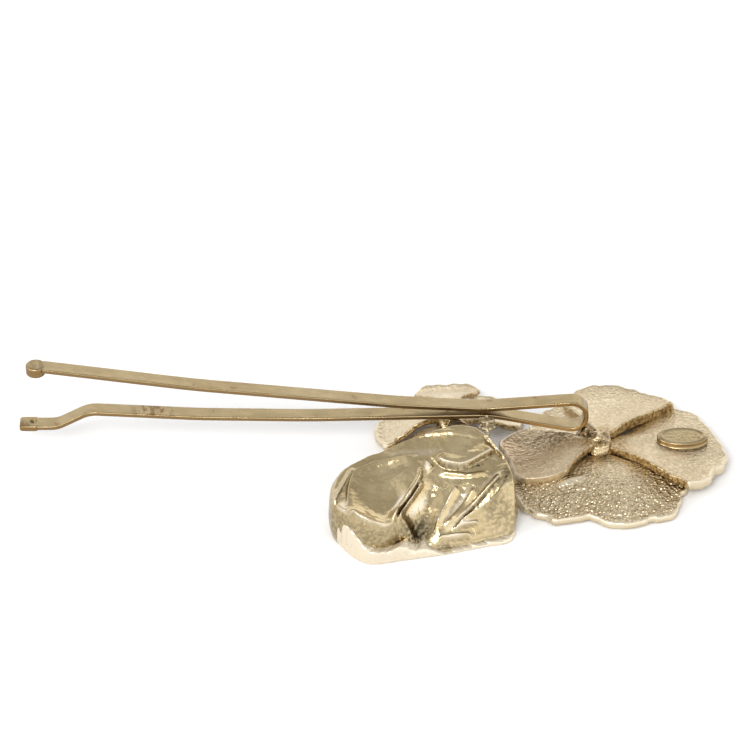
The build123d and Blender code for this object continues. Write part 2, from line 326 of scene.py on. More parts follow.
def strip_gold(name, stains=()):
    """Satin gold of the flat strip: face in a light gold, edges darkened by painted shade, small spots and
    stains.

    Each stain is its middle, radius, strength and how much of it is left bare.
    """
    n = Nodes(name)
    tone = n.mix(n.ramp(n.noise(110), 0.3, 0.7), PALE_GOLD, WARM_GOLD)
    spots = n.ramp(n.noise(1000, 2), 0.66, 0.72)
    smears = n.ramp(n.noise(300, 5), 0.60, 0.72)
    worn = n.mix(n.multiply(smears, 0.4), tone, (0.40, 0.28, 0.13))
    worn = n.mix(n.multiply(spots, 0.85), worn, BROWN)
    for middle, radius, strength, bare in stains:
        away = n.add("ShaderNodeVectorMath", operation="DISTANCE")
        n.link(n.place, away.inputs[0])
        away.inputs[1].default_value = middle
        near = n.ramp(away.outputs["Value"], radius, 0.5 * radius)
        blotch = n.ramp(n.noise(1100, 3, (1.6, 0.5, 1)), bare - 0.06, bare + 0.06)
        worn = n.mix(n.multiply(n.multiply(near, blotch), strength), worn, (0.17, 0.10, 0.04))
    # painted shade: faces that turn away from the sky are darkened to brown
    n.link(n.mix(n.ramp(n.facing_up(), 0.75, 0.2), worn, (0.25, 0.16, 0.07)), n.shader.inputs["Base Color"])
    n.shader.inputs["Metallic"].default_value = 1.0
    n.link(n.ramp(n.noise(500), 0.3, 0.7, 0.2, 0.38), n.shader.inputs["Roughness"])
    lines = n.bump(n.noise(900, 2, (0.08, 1, 1)), 0.25, 0.0001)
    n.link(n.bump(n.noise(700, 3), 0.2, 0.0002, lines), n.shader.inputs["Normal"])
    return n.material


def solder_gold(name, bright, dull):
    """Uneven solder and fused metal."""
    n = Nodes(name)
    tone = n.mix(n.ramp(n.noise(1100, 3), 0.42, 0.6), bright, dull)
    n.link(tone, n.shader.inputs["Base Color"])
    n.shader.inputs["Metallic"].default_value = 1.0
    n.link(n.ramp(n.noise(1800, 2), 0.3, 0.7, 0.12, 0.4), n.shader.inputs["Roughness"])
    n.link(n.bump(n.noise(1500, 4), 0.6, 0.0003), n.shader.inputs["Normal"])
    return n.material


def wire_gold():
    """Bright wire of the rings, dulled in places."""
    n = Nodes("wire_gold")
    tone = n.mix(n.ramp(n.noise(1400), 0.4, 0.6), (0.58, 0.48, 0.31), (0.20, 0.15, 0.08))
    n.link(tone, n.shader.inputs["Base Color"])
    n.shader.inputs["Metallic"].default_value = 1.0
    n.link(n.ramp(n.noise(900), 0.3, 0.7, 0.25, 0.4), n.shader.inputs["Roughness"])
    return n.material


POLISHED = polished_gold()
GRAINED = grained_gold()
STRIP = strip_gold("strip_gold")
SOLDER = solder_gold("solder_gold", (0.62, 0.50, 0.31), (0.22, 0.15, 0.07))
# a darker copy of the solder, as painted shade, for the mound by the bow and the arm solder
SHADED_SOLDER = solder_gold("solder_painted_shade", (0.36, 0.27, 0.15), (0.12, 0.08, 0.04))
WIRE = wire_gold()


# ---------------------------------------------------------------- flat flowers

# all sizes in millimetres
GRAIN_SIZE = 0.5
WAVE_SIZE = 3.2
WAVE_HEIGHT = 0.12
BLUSH_SIZE = 4.0
RIM_BAND = 0.45
RIM_RISE = 0.08
SEAM_SHADE_WIDTH = 0.22
VEINS = 11
VEIN_HEIGHT = 0.09
PETAL_EDGE = 0.3
# radius where the petals begin, and the one where their backs begin to slope
PETAL_START = 0.9
SLOPE_START = 2.5
# a petal's reach, and the spacing of its points if it reaches further than that, and if it doesn't
PETAL_SPACING = (9.6, 0.13, 0.12)
# rim: direction in degrees and distance from the centre; root and rim_height: heights of the back at the
# middle and at the rim; dish: how far it sinks across; lift: how far its first and last sides rise;
# thickness: of the plate; grain_height: of its pebbles; blush: how coppery its outer part is; last_seam_shade:
# how much painted shade its last side has, if not 1; shine: smooth polished patches with a painted highlight,
# as patches() takes them, from the flower's centre
LARGE_PETALS = {
    "large_petal_back": dict(
        rim=[(41, 11.9), (50, 12.1), (60, 11.9), (76, 12.2), (90, 12.3), (104, 11.2), (118, 9.4)],
        root=3.1, rim_height=2.25, dish=0.25, lift=(0.55, 0.0), thickness=1.6, grain_height=0.03,
        last_seam_shade=0.1),
    "large_petal_right": dict(
        rim=[(-39, 12.8), (-33, 13.6), (-27, 14.2), (-21, 14.1), (-15, 14.8), (-9, 15.1), (-2, 14.6),
             (8, 13.9), (20, 13.5), (30, 13.2), (41, 12.2), (52, 11.4)],
        root=2.3, rim_height=2.0, dish=0.15, lift=(0.55, -0.9), thickness=1.3, grain_height=0.03),
    "large_petal_front": dict(
        rim=[(205, 11.6), (213, 12.8), (221, 13.7), (232, 14.5), (241, 14.5), (249, 14.3), (256, 13.3),
             (262, 12.6), (269, 13.3), (276, 14.1), (286, 14.1), (295, 13.9), (302, 14.4), (308, 14.2),
             (313, 13.5), (318, 12.5), (325, 12.2), (333, 11.6)],
        shine=[(-4.0, -6.4, 1.7, 0.5, 25, 1.0)],
        root=1.5, rim_height=1.0, dish=-0.35, lift=(0.0, 0.0), thickness=0.85, grain_height=0.12),
    "large_petal_left": dict(
        rim=[(158, 9.6), (168, 11.2), (177, 12.4), (187, 11.6), (199, 11.6), (211, 11.8), (222, 9.6),
             (231, 7.2)],
        root=3.0, rim_height=1.9, dish=0.55, lift=(0.2, 0.35), thickness=1.0, grain_height=0.025, blush=0.3),
    "large_petal_bow": dict(
        rim=[(98, 9.5), (112, 10.2), (126, 10.0), (140, 9.9), (155, 9.4), (166, 8.2)],
        root=2.2, rim_height=1.75, dish=0.2, lift=(0.0, 0.0), thickness=0.85, grain_height=0.025),
}
SMALL_PETALS = {
    "small_petal_back": dict(
        rim=[(66, 8.4), (78, 9.2), (90, 9.0), (103, 9.3), (116, 8.9), (127, 7.8)],
        root=4.5, rim_height=2.1, dish=0.2, lift=(0.15, 0.15), thickness=0.85, grain_height=0.025),
    "small_petal_left": dict(
        rim=[(124, 7.6), (136, 8.7), (150, 9.4), (160, 9.2), (170, 9.5), (182, 9.2), (197, 8.4)],
        root=3.75, rim_height=1.1, dish=0.25, lift=(0.2, 0.2), thickness=0.85, grain_height=0.025),
    "small_petal_front_left": dict(
        rim=[(192, 6.6), (207, 7.0), (222, 6.7), (238, 7.0), (252, 6.2)],
        root=2.9, rim_height=1.1, dish=0.2, lift=(0.0, 0.0), thickness=0.85, grain_height=0.025),
    "small_petal_front": dict(
        rim=[(252, 5.8), (267, 6.5), (282, 6.4), (296, 6.6), (311, 5.8)],
        root=4.5, rim_height=2.6, dish=0.2, lift=(0.0, 0.0), thickness=0.85, grain_height=0.025),
    "small_petal_right": dict(
        rim=[(10, 8.4), (22, 9.3), (35, 9.1), (47, 9.4), (60, 9.2), (73, 8.2)],
        root=2.9, rim_height=1.0, dish=0.2, lift=(0.1, 0.1), thickness=0.85, grain_height=0.025),
}


def petal_surface(centre, rim, root, rim_height, dish, lift, **finish):
    """Back of a petal as a grid of points, its distances in from the rim and from the sides, and its shares.

    The last two results are the share from the middle to the rim, and the place across from -1 to 1. What
    else a petal's data holds is its finish, which doesn't change this surface.
    """
    angles = np.array([a for a, _ in rim], float)
    reaches = np.array([r for _, r in rim], float)
    reach = float(reaches.mean())
    width = math.radians(angles[-1] - angles[0]) * reach
    far, wide_spacing, close_spacing = PETAL_SPACING
    spacing = wide_spacing if reach > far else close_spacing
    s = edge_shares(int(reach / spacing), PETAL_EDGE, reach)
    s = s[s > PETAL_EDGE / reach * 0.5]
    t = edge_shares(int(width / spacing), PETAL_EDGE, width)
    middle, half = (angles[0] + angles[-1]) / 2, (angles[-1] - angles[0]) / 2
    rim_at = through([(a, r, 0) for a, r in rim], t)
    rim_at[:, 1] += 0.3 * np.array([noise.noise(Vector((share * width, root, 7))) for share in t])
    s_grid, t_grid = np.meshgrid(s, t, indexing="ij")
    radius = PETAL_START + s_grid * (rim_at[:, 1][None, :] - PETAL_START)
    spread = 1 - 0.18 * (1 - s_grid) ** 2
    offset = (rim_at[:, 0][None, :] - middle) * spread
    uneven = np.array([noise.noise(Vector((x * 6, root, 3))) for x in s]) * 3.4
    angle = np.radians(middle + offset + uneven[:, None] * s_grid)
    side = 2 * t_grid - 1
    height = root + (rim_height - root) * smooth((radius - SLOPE_START) / (reach - SLOPE_START)) ** 1.15
    rising = smooth(s_grid / 0.4)
    height = height - dish * np.sin(np.pi * s_grid) * (1 - side**2)
    height += rising * (lift[0] * np.clip(-side, 0, 1) ** 3 + lift[1] * np.clip(side, 0, 1) ** 3)
    points = np.dstack([centre[0] + radius * np.cos(angle), centre[1] + radius * np.sin(angle), height])
    edge_s = (1 - s_grid) * reach
    edge_t = (1 - np.abs(side)) * np.radians(half) * np.maximum(radius, 1.0)
    return points, edge_s, edge_t, s_grid, side


def make_petal(name, centre, spec, seed):
    """One petal of a flat flower: a thick plate with a rounded wavy rim and a grained back."""
    back, edge_s, edge_t, s_grid, side = petal_surface(centre, **spec)
    flat = back.reshape(-1, 3)
    waves = WAVE_HEIGHT * wobble(flat, WAVE_SIZE, seed).reshape(s_grid.shape) * s_grid
    strength = 0.3 + 0.7 * smooth((s_grid - 0.2) / 0.5)
    bumps = spec["grain_height"] * strength * wobble(flat, GRAIN_SIZE, seed).reshape(s_grid.shape)
    drop = edge_drop(edge_s, PETAL_EDGE) + edge_drop(edge_t, PETAL_EDGE)
    inner = np.minimum(edge_s, edge_t)
    rim = 1 - smooth((edge_s - 0.5 * RIM_BAND) / (0.5 * RIM_BAND))
    shine = patches(flat[:, :2] - centre, spec.get("shine", ())).reshape(s_grid.shape)
    bumps *= 1 - shine
    top = back.copy()
    top[:, :, 2] += waves + bumps * smooth(inner / PETAL_EDGE) * (1 - 0.6 * rim)
    top[:, :, 2] += 0.3 * shine + RIM_RISE * rim - np.minimum(drop, PETAL_EDGE)
    bottom = back.copy()
    veins = VEIN_HEIGHT * np.abs(np.sin(VEINS * math.pi / 2 * side)) ** 0.6 * np.sin(math.pi * s_grid)
    bottom[:, :, 2] += waves + veins - spec["thickness"] + np.minimum(drop, PETAL_EDGE)
    vertices, faces = solid_sheet(top, bottom)
    vertices[:, 2] = np.maximum(vertices[:, 2], FLOOR_GAP)
    petal = make_object(name + "_shaped", vertices, faces, GRAINED)
    # painted shade in the seams between petals, and on the backs round the roots
    seam_shade = (1 - smooth(edge_t / SEAM_SHADE_WIDTH)) * (1 - rim) * np.where(side > 0, spec.get("last_seam_shade", 1), 1)
    root = 1 - smooth((s_grid * 12 - 1.2) / 1.4)
    # painted highlight along the rim band and on the shine patches, which are also smoother
    paint(petal, "rim", np.concatenate([np.maximum(rim, shine).ravel(), 0 * rim.ravel()]))
    grain = np.clip(spec["grain_height"] * 9, 0, 1) * strength * (1 - rim) * (1 - shine)
    paint(petal, "grain", np.concatenate([grain.ravel(), grain.ravel()]))
    patchy = (0.6 + 0.8 * wobble(flat, BLUSH_SIZE, seed + 2)).reshape(s_grid.shape)
    blush = spec.get("blush", 0) * np.clip(patchy, 0, 1) * smooth((s_grid - 0.35) / 0.5)
    paint(petal, "blush", np.concatenate([blush.ravel(), blush.ravel()]))
    paint(petal, "seam_shade", np.concatenate([np.maximum(seam_shade, 0.7 * root).ravel(), seam_shade.ravel()]))
    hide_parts(name)
    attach(petal, "frame")


def flower_centre(rivet):
    """Centre of a flower in millimetres, from its rivet."""
    low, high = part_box(rivet)
    return ((low.x + high.x) / 2 / MM, (low.y + high.y) / 2 / MM)


def make_flowers():
    """All petals of both flat flowers."""
    for seed, (name, spec) in enumerate(LARGE_PETALS.items()):
        make_petal(name, flower_centre("large_flower_rivet"), spec, seed + 1)
    for seed, (name, spec) in enumerate(SMALL_PETALS.items()):
        make_petal(name, flower_centre("small_flower_rivet"), spec, seed + 11)


def disc(radii, height_at, rows, columns, middle, low):
    """Closed disc with a shaped top: radii along x and y, height_at(share, x, y), and a flat underside."""
    share = np.linspace(0.02, 1, rows)[:, None]
    turn = np.arange(columns) / columns * 2 * math.pi
    x = share * radii[0] * np.cos(turn)
    y = share * radii[1] * np.sin(turn)
    top = np.dstack([middle[0] + x, middle[1] + y, height_at(share + 0 * x, x, y)])
    skirt = top[-1:].copy()
    skirt[:, :, 2] = low
    grid = np.concatenate([top, skirt])
    ends = [[*middle, top[0, :, 2].mean()], [*middle, low]]
    vertices = np.concatenate([grid.reshape(-1, 3), ends])
    faces = grid_faces(rows + 1, columns, flip=True, closed=True)
    count = (rows + 1) * columns
    for j in range(columns):
        k = (j + 1) % columns
        faces.append((k, count, j)[::-1])
        faces.append((rows * columns + k, rows * columns + j, count + 1)[::-1])
    return vertices, faces


# lumps of melted solder on a rivet: x, y, size and height, for a rivet head of radius 1
RIVET_LUMPS = [(0.3, 0.25, 0.36, 0.4), (-0.25, 0.35, 0.34, 0.35), (-0.08, -0.05, 0.36, 0.5),
               (0.12, -0.5, 0.36, 0.5)]
BOSS_RADIUS = 1.55
BOSS_SHIFT = (-0.35, 0.25)
# how far the head's surface lies below the top of the CAD rivet, and how far it and its lumps fall away
# in front
BOSS_SINK = 0.5
BOSS_FALL = 1.5
MOUND_RADII = (1.3, 1.0)
MOUND_SHIFT = (0.15, 0.2)
# rows and columns of points on a boss, a mound of solder and the plaque
BOSS_GRID, MOUND_GRID, PLAQUE_GRID = (34, 120), (30, 90), (56, 200)
PLAQUE_RIM = 0.28
PLAQUE_EDGE = 0.18


def make_boss(node):
    """A rivet head drowned in lumps of polished solder."""
    low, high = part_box(node)
    low, high = low / MM, high / MM
    radius = BOSS_RADIUS
    middle = ((low.x + high.x) / 2 + BOSS_SHIFT[0], (low.y + high.y) / 2 + BOSS_SHIFT[1])

    def height_at(share, x, y):
        falling = BOSS_FALL * smooth(-y / radius) * share**0.5
        rise = high.z - BOSS_SINK + 0.4 * (1 - share**2) - falling
        for at_x, at_y, size, height in RIVET_LUMPS:
            near = ((x / radius - at_x) ** 2 + (y / radius - at_y) ** 2) / size**2
            lump = height * np.sqrt(np.clip(1 - near, 0, 1)) + 0.15 * np.exp(-near)
            rise = np.maximum(rise, high.z - BOSS_SINK + lump + BOSS_FALL * min(at_y, 0) * (near < 3))
        return rise + 0.05 * flat_wobble(x, y, 0.4, 9) - 0.5 * smooth((share - 0.85) / 0.15)

    vertices, faces = disc((radius, radius), height_at, *BOSS_GRID, middle, max(low.z, FLOOR_GAP))
    boss = make_object(node + "_shaped", vertices, faces, SOLDER)
    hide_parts(node)
    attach(boss, "frame")


def make_solder_mound():
    """Solder between the bow and the large flower, darkened with painted shade."""
    low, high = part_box("bow_solder")
    low, high = low / MM, high / MM
    middle = (high.x + MOUND_SHIFT[0], (low.y + high.y) / 2 + MOUND_SHIFT[1])
    bow_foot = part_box("spring_bow")[0].z / MM

    def height_at(share, x, y):
        return bow_foot + 0.15 - 1.2 * share**2 + 0.25 * flat_wobble(x, y, 0.6, 2)

    vertices, faces = disc(MOUND_RADII, height_at, *MOUND_GRID, middle, low.z)
    mound = make_object("bow_solder_shaped", vertices, faces, SHADED_SOLDER)
    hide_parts("bow_solder")
    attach(mound, "frame")


def make_plaque():
    """The small oval plaque, blank, with a raised rim."""
    low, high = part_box("oval_plaque")
    low, high = low / MM, high / MM
    radii = ((high.x - low.x) / 2, (high.y - low.y) / 2)

    def height_at(share, x, y):
        inside = (1 - share) * radii[1]
        rim = np.exp(-(((inside - PLAQUE_RIM) / 0.11) ** 2))
        worn = flat_wobble(x, y, 0.35, 4) * smooth((inside - 0.35) / 0.3)
        return high.z - 0.09 + 0.1 * rim + 0.02 * worn - edge_drop(inside, PLAQUE_EDGE)

    middle = ((low.x + high.x) / 2, (low.y + high.y) / 2)
    vertices, faces = disc(radii, height_at, *PLAQUE_GRID, middle, low.z)
    plaque = make_object("oval_plaque_shaped", vertices, faces, STRIP)
    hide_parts("oval_plaque")
    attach(plaque, "frame")


# ---------------------------------------------------------------- blossom

# folds and patches of the face are placed as seen from this far above the horizon
FACE_TILT = math.radians(36)
BLOSSOM_MIDDLE = (6.0, -8.6)
# top edge of the blossom's outer wall: x, y, height
BLOSSOM_RIM = [
    (3.1, -13.9, 5.1), (1.6, -14.9, 4.5), (-1.0, -15.3, 5.4), (-3.0, -13.7, 5.6), (-4.7, -11.6, 5.3),
    (-4.9, -9.0, 5.7), (-4.1, -6.7, 6.2), (-1.9, -5.2, 6.9), (2.5, -3.6, 7.9), (6.6, -2.4, 9.0),
    (9.6, -1.8, 9.6), (12.2, -1.8, 9.1), (14.0, -3.1, 7.5), (15.5, -5.0, 6.9), (16.3, -8.0, 6.4),
    (16.3, -10.2, 3.6), (15.4, -11.6, 1.2), (12.4, -12.7, 1.0), (9.0, -13.7, 0.8), (6.6, -14.3, 0.8),
    (4.8, -14.3, 1.4),
]
# edges of outer petals that lap round the wall: direction in degrees and how far they stand proud
BLOSSOM_LAPS = [(50, 0.6), (108, 0.6), (168, 0.4), (226, 0.2)]
# how far the foot of the wall tucks in at the back
BLOSSOM_TUCK = 1.9
# heights inside the rim: x, y, height
BLOSSOM_HEIGHTS = [
    (0.0, -10.0, 5.55), (-2.4, -9.2, 5.8), (2.6, -10.2, 5.3), (2.0, -6.6, 6.7), (-1.2, -7.2, 6.4),
    (-0.8, -13.2, 5.0), (1.4, -13.2, 4.6), (4.3, -10.3, 5.5), (5.3, -8.5, 6.3), (5.8, -6.9, 7.1),
    (6.2, -6.3, 7.0), (10.3, -6.4, 6.9), (9.0, -4.3, 8.3), (6.2, -8.8, 4.9), (5.4, -10.9, 3.3),
    (4.9, -12.9, 1.9), (7.8, -10.0, 4.3), (7.3, -12.9, 2.5),
    (10.2, -10.0, 4.3), (11.4, -8.2, 5.8), (13.8, -7.0, 6.4), (13.8, -10.2, 4.2), (11.4, -11.6, 2.4),
    (15.0, -10.9, 2.6), (9.0, -12.7, 1.9),
]
# folds of the face: points as x and height up the face, rise, softness on the upper and on the lower side,
# and how dark the painted shade in the crease at the foot of its steeper side is
BLOSSOM_FOLDS = [
    ([(-3.0, -3.4), (-1.0, -4.6), (0.6, -5.1), (1.6, -5.2), (2.4, -4.8)], 0.5, 0.3, 0.12, 0.8),
    ([(1.9, -4.8), (3.2, -3.0), (4.6, -1.1), (5.3, 0.2), (5.6, 1.6)], 0.75, 0.5, 0.12, 0.9),
    ([(2.5, -4.8), (3.7, -3.1), (5.0, -1.3), (5.7, 0.0)], 0.65, 0.12, 0.16, 0.3),
    ([(-5.0, -3.0), (-4.0, -0.9), (-2.4, 1.5)], 0.35, 0.3, 0.12, 0.3),
    ([(-3.1, -3.2), (-3.0, -0.8), (-2.3, 0.9), (-0.6, 1.7), (2.6, 2.5), (5.2, 2.9)], 0.5, 0.22, 0.7, 0.3),
    ([(6.9, 2.5), (8.2, 1.7), (10.3, 1.5), (12.2, 2.3), (13.3, 2.9), (14.4, 3.6)], 0.9, 1.4, 0.1, 0.8),
    ([(5.7, 2.3), (6.2, 1.8), (6.7, 1.3)], 0.45, 0.35, 0.4, 0.0),
    ([(9.6, -0.6), (8.6, -2.5), (7.1, -5.4)], 0.65, 0.1, 0.45, 0.8),
    ([(11.9, -0.9), (10.4, -3.2), (8.2, -5.6)], 0.5, 0.45, 0.3, 0.0),
    ([(15.1, 0.9), (12.3, -2.3), (8.9, -5.6)], 0.65, 0.45, 0.09, 0.9),
    ([(15.9, 0.6), (14.2, -1.9), (11.9, -3.6), (9.4, -5.4)], 0.5, 0.12, 0.45, 0.5),
    ([(9.0, -5.9), (10.4, -5.3), (12.2, -5.0)], 0.42, 0.3, 0.16, 0.5),
    ([(7.4, -6.9), (9.0, -6.6), (11.3, -6.4)], 0.5, 0.35, 0.25, 0.5),
    ([(7.6, 0.9), (11.0, 0.6), (13.6, 0.9)], 0.3, 0.35, 0.2, 0.2),
    ([(12.9, 5.4), (14.1, 3.9), (15.4, 2.4)], 0.5, 0.3, 0.12, 0.7),
    ([(2.0, 4.2), (6.0, 5.4), (10.0, 5.6), (13.0, 4.9)], 0.16, 0.4, 0.25, 0.1),
    ([(-1.0, -4.9), (-1.1, -6.0), (-1.0, -7.2)], 0.2, 0.1, 0.13, 0.9),
]
# painted highlight patches and painted shade patches: middle as x and height up the face, half length, half
# width, turn, strength
BLOSSOM_HIGHLIGHT_PATCHES = [
    (2.9, -2.3, 1.4, 0.33, 58, 1.0), (6.2, 1.7, 0.6, 0.36, 90, 1.0), (4.9, -3.2, 1.7, 0.5, 48, 0.9),
    (9.8, -2.8, 2.4, 0.4, 52, 0.7), (10.4, -5.1, 1.7, 0.28, 14, 0.8), (9.3, -6.5, 1.7, 0.28, 8, 0.8),
    (13.9, 4.3, 1.6, 0.2, -50, 0.7), (5.0, 3.3, 3.2, 0.45, 4, 0.35), (13.6, 0.2, 1.6, 0.35, 40, 0.5),
    (-3.9, -3.6, 1.6, 0.7, 75, 0.6),
]
BLOSSOM_SHADE_PATCHES = [
    (15.4, 0.6, 1.3, 0.4, 80, 0.8), (12.0, 1.75, 0.8, 0.16, 18, 1.0), (14.6, -3.6, 2.9, 2.2, 85, 0.6),
    (-1.0, -6.4, 3.0, 1.2, 170, 0.5), (8.3, -7.6, 1.9, 0.45, 5, 0.8), (9.8, 0.0, 0.9, 0.4, 30, 0.35),
    (7.6, -3.2, 0.5, 0.4, 90, 0.4), (-1.0, -5.6, 0.35, 0.2, 90, 0.8),
]
# CAD nodes that the furled body stands for
BLOSSOM_NODES = [
    "blossom_base", "blossom_petal_front", "blossom_petal_right", "blossom_petal_back", "blossom_heart",
    "blossom_inner_petal_left", "blossom_inner_petal_front", "blossom_inner_petal_right",
]
# painted shade at the foot of the face: middle as x and height up the face, half length and half width
BLOSSOM_FOOT_SHADE = (4.8, -6.1, 2.2, 2.0)
# how much painted shade lies over the whole underside
UNDERSIDE_SHADE = 0.4
# points along each side of the face's grid, and rows of the wall and of the underside
FACE_POINTS, WALL_ROWS, UNDER_ROWS = 230, 24, 14
FACE_EDGE = 0.35
# points along a fold's line, and the half widths of its painted crease shade and of its painted crest
# highlight
FOLD_STEPS = 260
CREASE_WIDTH = 0.13
CREST_WIDTH = 0.11
# outer sheet low round the front: bottom x, y and the height of its top edge
LOW_SHEET = [
    (-4.9, -10.4, 4.9), (-4.6, -12.0, 4.7), (-3.6, -14.0, 4.0), (-2.4, -15.5, 2.9), (-0.8, -16.5, 2.0),
    (1.2, -16.4, 1.8), (3.0, -15.9, 1.9), (4.4, -15.6, 1.3), (6.0, -15.2, 1.3), (7.6, -14.8, 0.6),
    (10.0, -14.1, 0.5), (13.0, -13.2, 0.5), (15.9, -12.2, 0.6), (16.7, -10.6, 0.9),
]
# its rough length and height, which spread its points, its thickness and the radius of its edges
SHEET_LENGTH, SHEET_HEIGHT, SHEET_THICKNESS, SHEET_EDGE = 32, 3, 1.9, 0.3
SHEET_COLUMNS, SHEET_ROWS = 260, 26


def bent_plate(places, heights):
    """A function giving the height of a smooth plate bent through heights at places."""
    places = np.asarray(places, float)

    def kernel(a, b):
        d = np.maximum(np.linalg.norm(a[:, None] - b[None], axis=2), 1e-6)
        return d**2 * np.log(d)

    n = len(places)
    flat = np.c_[np.ones(n), places]
    system = np.zeros((n + 3, n + 3))
    system[:n, :n] = kernel(places, places) + 0.3 * np.eye(n)
    system[:n, n:] = flat
    system[n:, :n] = flat.T
    weights = np.linalg.solve(system, np.r_[heights, 0, 0, 0])
    return lambda at: kernel(at, places) @ weights[:n] + np.c_[np.ones(len(at)), at] @ weights[n:]


def fold_height(face, line, rise, upper, lower, dark):
    """Rise of a fold over points of the face, its crease's painted shade and its crest's painted highlight."""
    line = through([(*p, 0) for p in line], np.linspace(0, 1, FOLD_STEPS))[:, :2]
    reach = 2.6 * max(upper, lower) + 0.5
    close = np.all((face > line.min(0) - reach) & (face < line.max(0) + reach), axis=1)
    result = np.zeros((3, len(face)))
    face = face[close]
    distance = np.linalg.norm(face[:, None] - line[None], axis=2)
    nearest = distance.argmin(1)
    along = np.gradient(line, axis=0)
    along = (along / np.linalg.norm(along, axis=1)[:, None])[nearest]
    offset = face - line[nearest]
    side = along[:, 0] * offset[:, 1] - along[:, 1] * offset[:, 0]
    beyond = (nearest == 0) | (nearest == len(line) - 1)
    distance = np.where(beyond, distance[np.arange(len(face)), nearest], np.abs(side))
    if line[-1, 0] < line[0, 0]:
        side = -side
    soft = np.where(side > 0, upper, lower)
    steepest = min(upper, lower)
    taper = smooth(6.5 * np.minimum(nearest, FOLD_STEPS - 1 - nearest) / FOLD_STEPS + 0.15)
    steep = (side > 0) == (upper < lower)
    result[0, close] = rise * taper * np.exp(-((distance / soft) ** 2))
    result[1, close] = dark * taper * steep * np.exp(-(((distance - 1.6 * steepest) / CREASE_WIDTH) ** 2))
    result[2, close] = 0.7 * taper * np.exp(-((distance / CREST_WIDTH) ** 2)) * (steepest < 0.2)
    return result


def square_disc(count):
    """A square grid squeezed into a disc: how far out each point is, and its turn, both from 0 to 1."""
    line = np.linspace(-1, 1, count)
    a, b = np.meshgrid(line, line, indexing="ij")
    wide = np.abs(a) >= np.abs(b)
    sideways = b / np.where(wide, a, 1) + 4 * (a < 0)
    lengthways = 2 - a / np.where(wide, 1, b) + 4 * (b < 0)
    eighths = np.where(wide, sideways, lengthways)
    return np.maximum(np.abs(a), np.abs(b)).ravel(), (eighths.ravel() / 8) % 1


def blossom_face(count):
    """Points of the folded face, with how much painted shade and painted highlight each has."""
    share, around = square_disc(count)
    rim = round_loop(BLOSSOM_RIM, around)
    known = BLOSSOM_RIM + BLOSSOM_HEIGHTS
    plate = bent_plate([p[:2] for p in known], [p[2] for p in known])
    middle = np.array(BLOSSOM_MIDDLE)
    flat = middle + share[:, None] * (rim[:, :2] - middle)
    height = plate(flat)
    face = np.c_[flat[:, 0], math.sin(FACE_TILT) * flat[:, 1] + math.cos(FACE_TILT) * height]
    dark, painted_highlight = patches(face, BLOSSOM_SHADE_PATCHES), patches(face, BLOSSOM_HIGHLIGHT_PATCHES)
    for fold in BLOSSOM_FOLDS:
        rise, crease, crest = fold_height(face, *fold)
        height = height + rise
        dark = np.maximum(dark, crease)
        painted_highlight = np.maximum(painted_highlight, crest)
    inward = (1 - share) * np.linalg.norm(rim[:, :2] - middle, axis=1)
    height = np.clip(height - edge_drop(inward, FACE_EDGE), 0.4, 9.9)
    top = np.c_[flat, height]
    top[:, 2] += 0.03 * wobble(top, 0.5, 5) + 0.06 * wobble(top, 1.0, 7) + 0.12 * wobble(top, 2.2, 8)
    return top, dark, painted_highlight


def blossom_wall(edge, rows):
    """Rows of the outer wall below the face's edge, with the shade beside each lap, and its turns."""
    outward = edge[:, :2] - np.array(BLOSSOM_MIDDLE)
    outward /= np.linalg.norm(outward, axis=1)[:, None]
    down = np.linspace(0, 1, rows + 1)[1:, None]
    turn = np.degrees(np.arctan2(outward[:, 1], outward[:, 0]))[None] + 16 * down + 4 * np.sin(5 * down)
    behind = smooth(1.6 * outward[:, 1])
    flutes = 0.12 * wobble(edge * (0.5, 0.5, 1.5), 1, 1) + 0.35 * behind * wobble(edge * (1, 1, 0), 2.6, 4)
    push = 0.35 * np.sin(np.pi * down) ** 0.7 + flutes[None] * np.sin(np.pi * down)
    push -= BLOSSOM_TUCK * smooth((down - 0.3) / 0.7) * behind[None]
    shade = np.zeros_like(turn)
    for lap_at, step in BLOSSOM_LAPS:
        past = (turn - lap_at) % 360
        push += step * np.exp(-past / 26) * smooth(down / 0.15)
        shade = np.maximum(shade, 0.8 * np.exp(-(360 - past) / 1.6) * smooth(down / 0.1))
    plan = edge[None, :, :2] + push[:, :, None] * outward[None]
    return np.dstack([plan, edge[None, :, 2] * (1 - down) + 0.05 * down]), shade, turn[0]


def blossom_underside(foot, turn, rows):
    """Rows of the hollowed underside, from the wall's foot to near the middle."""
    middle = np.array(BLOSSOM_MIDDLE)
    inner = np.linspace(0.96, 0.05, rows)[:, None]
    furl = 0.5 + 0.5 * np.sin(np.radians(3 * turn[None]) + 9 * inner)
    hollow = 0.05 + 0.7 * smooth((1 - inner) / 0.2) + 0.6 * furl * smooth((1 - inner) / 0.3)
    return np.dstack([middle + inner[:, :, None] * (foot[None, :, :2] - middle), hollow])


